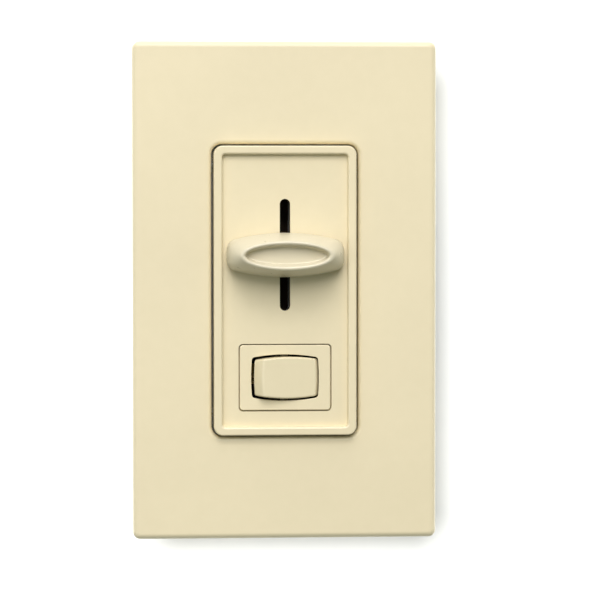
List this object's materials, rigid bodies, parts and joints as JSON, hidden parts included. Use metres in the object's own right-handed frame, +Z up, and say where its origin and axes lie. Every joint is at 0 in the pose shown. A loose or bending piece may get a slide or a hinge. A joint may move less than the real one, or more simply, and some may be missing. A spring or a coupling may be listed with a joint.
{
  "type": "slide dimmer switch",
  "caption": "Wall dimmer with a flared oval slide knob in a vertical slot, a separate side-to-side on/off rocker, a framed insert and a screwless clip-on wallplate.",
  "frame": {"origin": "centre of the two box-screw holes, on the wall plane behind the mounting yoke", "axes": "+X to the right of someone facing the device, +Y into the wall, +Z up"},
  "size_m": [0.0698, 0.0444, 0.1142],
  "materials": {
    "cover_ivory": "moulded ivory plastic with a soft sheen",
    "adapter_plastic": "plain moulded ivory plastic",
    "zinc_steel": "bright zinc plating",
    "green_steel": "green dyed zinc plating",
    "yoke_aluminium": "rolled sheet, blanked edges",
    "bezel_ivory": "moulded ivory plastic with a soft sheen",
    "knob_ivory": "moulded ivory plastic with a soft gloss",
    "rocker_ivory": "moulded ivory plastic with a soft sheen",
    "frame_ivory": "moulded ivory plastic with a soft sheen",
    "black_card": "matt black sheet",
    "black_plastic": "matt black moulding",
    "housing_black": "fine-textured black moulding",
    "tinned_steel": "tinned sheet",
    "phenolic": "brown phenolic board",
    "switch_phenolic": "dark phenolic moulding",
    "bronze": "spring bronze strip",
    "brass": "stamped brass",
    "copper_strip": "stamped copper alloy",
    "silver_contact": "silver alloy, slightly dull",
    "spring_steel": "drawn spring wire",
    "acetal": "natural acetal",
    "board_green": "green solder-masked laminate",
    "mica": "thin mica sheet",
    "tab_copper": "nickel plated copper",
    "epoxy_black": "moulded epoxy",
    "tinned_wire": "tinned wire",
    "rivet_aluminium": "aluminium rivet",
    "ferrite": "coated iron powder ring",
    "enamel_copper": "enamelled copper wire",
    "film_yellow": "plastic case",
    "film_red": "dipped lacquer",
    "resistor_tan": "lacquered body",
    "diac_blue": "lacquered glass body"
  },
  "bodies": {
    "root": {"wallplate_adapter": "adapter_plastic", "adapter_screws": "zinc_steel", "yoke": "yoke_aluminium", "box_screws": "zinc_steel", "ground_screw": "green_steel", "bezel": "bezel_ivory", "slot_mask": "black_card", "control_case": "tinned_steel", "control_element": "phenolic", "control_terminals": "tinned_wire", "rocker_frame": "frame_ivory", "fixed_contact": "silver_contact", "contact_terminal": "brass", "pivot_terminal": "brass", "switch_base": "switch_phenolic", "circuit_board": "board_green", "triac_insulator": "mica", "triac_tab": "tab_copper", "triac_body": "epoxy_black", "triac_leads": "tinned_wire", "triac_rivet": "rivet_aluminium", "choke_core": "ferrite", "choke_winding": "enamel_copper", "filter_capacitor": "film_yellow", "timing_capacitors": "film_red", "resistors": "resistor_tan", "diac": "diac_blue", "component_leads": "tinned_wire", "lead_eyelets": "brass", "back_housing": "housing_black", "housing_screws": "zinc_steel"},
    "cover": {"wallplate_cover": "cover_ivory"},
    "slider": {"slider_knob": "knob_ivory", "slider_carriage": "black_plastic", "wiper_contacts": "bronze"},
    "rocker": {"rocker": "rocker_ivory", "plunger": "acetal", "plunger_spring": "spring_steel"},
    "contact_arm": {"contact_bar": "copper_strip", "moving_contact": "silver_contact"}
  },
  "joints": [
    {"name": "slider_travel", "type": "slide", "parent": "root", "child": "slider", "axis": [0, 0, 1], "range_m": [-0.01, 0.01]},
    {"name": "rocker_tilt", "type": "hinge", "parent": "root", "child": "rocker", "pos_m": [0, -0.00245, -0.02], "axis": [0, 0, -1], "range_deg": [0, 20.4]},
    {"name": "contact_arm_pivot", "type": "hinge", "parent": "root", "child": "contact_arm", "pos_m": [0, 0.00505, -0.02], "axis": [0, 0, -1], "range_deg": [-16.5, 0.5]},
    {"name": "cover_pull", "type": "slide", "parent": "root", "child": "cover", "axis": [0, -1, 0], "range_m": [0, 0.012]}
  ],
  "couplings": [
    {"joint": "contact_arm_pivot", "follows": "rocker_tilt", "ratio": -0.7843}
  ]
}
